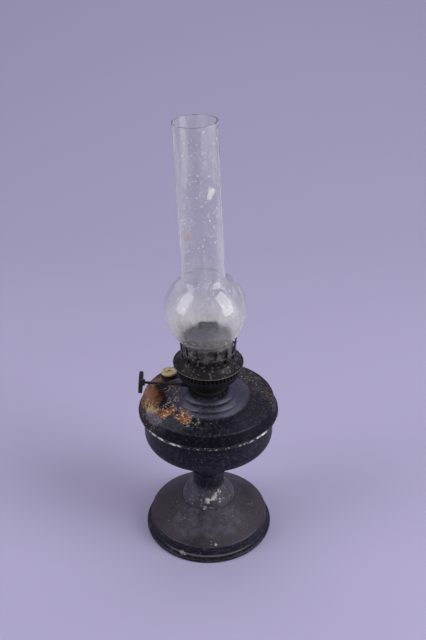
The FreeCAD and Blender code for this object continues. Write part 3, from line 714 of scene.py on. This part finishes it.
def dress():
    """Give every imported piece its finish."""
    basket_brass = burnt_brass("basket_brass", soot=1.0, ash=0.35)
    deflector_brass = burnt_brass("deflector_brass", soot=1.0, ash=0.6)
    finishes = {
        foot_paint(): ["foot"],
        stem_paint(): ["stem"],
        socket_paint(): ["stem_ring", "font_socket"],
        bowl_paint(): ["font_bowl"],
        shoulder_paint(): ["font_shoulder"],
        scaled_filler(): ["filler_neck", "filler_cap"],
        leather(): ["filler_washer", "burner_gasket"],
        basket_brass.done(): ["burner_collar", "burner_basket", "shaft_sleeve"],
        crown_brass(): ["gallery_crown"],
        deflector_brass.done(): ["deflector"],
        plate_brass(): ["gallery_plate"],
        inner_brass(): ["burner_ferrule", "air_plate", "wick_tube", "sprocket_cover"],
        black_steel(): ["raiser_shaft", "raiser_knob"],
        bare_steel(): ["sprocket_wheels"],
        chimney_glass(): ["chimney"],
    }
    for material, names in finishes.items():
        for name in names:
            mesh = nodes[name].data
            mesh.materials.clear()
            mesh.materials.append(material)


def mesh_object(name, points, faces, material):
    mesh = bpy.data.meshes.new(name)
    mesh.from_pydata(points, [], faces)
    mesh.materials.append(material)
    mesh.shade_smooth()
    made = bpy.data.objects.new(name, mesh)
    bpy.context.scene.collection.objects.link(made)
    return made


def woven_wick():
    """Flat woven ribbon: warp ribs along its height, picks across them, and a burnt ragged top."""
    middle = (wick_low + wick_high) / 2
    half_width = (wick_high.x - wick_low.x) / 2
    half_depth = (wick_high.y - wick_low.y) / 2
    ribs = 11
    around = 8 * ribs
    pick = 0.9 * MM
    pick_pull = 0.02
    rib_low, rib_rise = 0.84, 0.16
    edge_power = 0.35
    fray_depth = 1.4 * MM
    rows = int((wick_high.z - wick_low.z) / pick * 2)
    points = []
    for row in range(rows + 1):
        level = wick_low.z + (wick_high.z - wick_low.z) * row / rows
        for step in range(around):
            turn = 2 * math.pi * step / around
            across = math.cos(turn)
            edge = math.copysign(abs(math.sin(turn)) ** edge_power, math.sin(turn))
            over = 0.5 + 0.5 * math.cos(math.pi * (row + ribs * across))
            x = middle.x + half_width * across * (1 - pick_pull * (row % 2))
            y = middle.y + half_depth * edge * (rib_low + rib_rise * over)
            fray = 0.5 + 0.5 * math.sin(17 * across + 3 * edge)
            z = level - (fray_depth * fray if row == rows else 0.0)
            points.append((x, y, z))
    faces = []
    for row in range(rows):
        for step in range(around):
            low, high = row * around, (row + 1) * around
            following = (step + 1) % around
            faces.append((low + step, low + following, high + following, high + step))
    faces.append(tuple(reversed(range(around))))
    faces.append(tuple(rows * around + step for step in range(around)))
    made = mesh_object("woven_wick", points, faces, wick_cotton())
    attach(made, "wick_ribbon")
    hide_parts("wick")


def backdrop():
    """Lilac-grey paper that lies under the lamp and sweeps up behind it."""
    half_width = 2.4
    front = -2.4
    bend_start = 0.7
    bend_radius = 1.8
    bend = 63
    bend_steps = 24
    profile = [(front, 0.0)]
    for step in range(bend_steps + 1):
        turn = math.radians(bend) * step / bend_steps
        profile.append((bend_start + bend_radius * math.sin(turn), bend_radius * (1 - math.cos(turn))))
    points = [(side * half_width, y, z) for y, z in profile for side in (-1, 1)]
    faces = [(2 * row, 2 * row + 1, 2 * row + 3, 2 * row + 2) for row in range(len(profile) - 1)]
    paper = Surface("paper", PAPER, FIBROUS)
    paper.sheen(0.1)
    paper.raise_by(paper.noise(300, 4), 0.05 * MM)
    made = mesh_object("backdrop", points, faces, paper.done())
    made.location.z = -0.2 * MM


def softbox(name, azimuth, elevation, width, height, power):
    """Large flat studio light, placed by its direction from the lamp and turned towards it."""
    aim = Vector((0.0, 0.0, 0.25))
    away = 2.0
    turn, lift = math.radians(azimuth), math.radians(elevation)
    way = Vector((math.sin(turn) * math.cos(lift), -math.cos(turn) * math.cos(lift), math.sin(lift)))
    light = bpy.data.lights.new(name, "AREA")
    light.shape = "RECTANGLE"
    light.size = width
    light.size_y = height
    light.energy = power
    made = bpy.data.objects.new(name, light)
    made.location = aim + way * away
    made.rotation_euler = (-way).to_track_quat("-Z", "Y").to_euler()
    made.visible_transmission = False
    bpy.context.scene.collection.objects.link(made)


def surroundings():
    """A soft lilac fill; the eye, mirrors and glass see the paper's own tone instead."""
    world = bpy.data.worlds.new("studio")
    world.use_nodes = True
    tree = world.node_tree
    fill = tree.nodes["Background"]
    fill.inputs["Color"].default_value = FILL_LIGHT
    fill.inputs["Strength"].default_value = 0.22
    seen = tree.nodes.new("ShaderNodeBackground")
    seen.inputs["Color"].default_value = SEEN_BACKGROUND
    either = tree.nodes.new("ShaderNodeMixShader")
    rays = tree.nodes.new("ShaderNodeLightPath")
    looking = rays.outputs["Is Camera Ray"]
    for kind in ("Is Glossy Ray", "Is Transmission Ray"):
        most = tree.nodes.new("ShaderNodeMath")
        most.operation = "MAXIMUM"
        tree.links.new(looking, most.inputs[0])
        tree.links.new(rays.outputs[kind], most.inputs[1])
        looking = most.outputs[0]
    tree.links.new(looking, either.inputs[0])
    tree.links.new(fill.outputs[0], either.inputs[1])
    tree.links.new(seen.outputs[0], either.inputs[2])
    tree.links.new(either.outputs[0], tree.nodes["World Output"].inputs["Surface"])
    bpy.context.scene.world = world


def studio():
    surroundings()
    softbox("left_softbox", azimuth=-71, elevation=27, width=1.1, height=2.0, power=23.0)
    softbox("right_softbox", azimuth=67, elevation=27, width=1.2, height=2.2, power=44.0)
    softbox("ceiling", azimuth=180, elevation=72, width=2.6, height=1.6, power=19.0)


def camera():
    """The photograph's view: 862 pixels of focal length in a frame 640 pixels tall, 30 degrees down."""
    focal_pixels = 862.0
    frame_pixels = 640.0
    sensor = 36.0
    pitch = 30.05
    made = bpy.data.objects.new("camera", bpy.data.cameras.new("camera"))
    made.data.sensor_width = sensor
    made.data.lens = sensor * focal_pixels / frame_pixels
    made.location = (4.8 * MM, -737.6 * MM, 687.4 * MM)
    made.rotation_euler = (math.radians(90.0 - pitch), 0.0, 0.0)
    bpy.context.scene.collection.objects.link(made)
    bpy.context.scene.camera = made


dress()
woven_wick()
backdrop()
studio()
camera()
bpy.context.scene.view_settings.view_transform = "Standard"
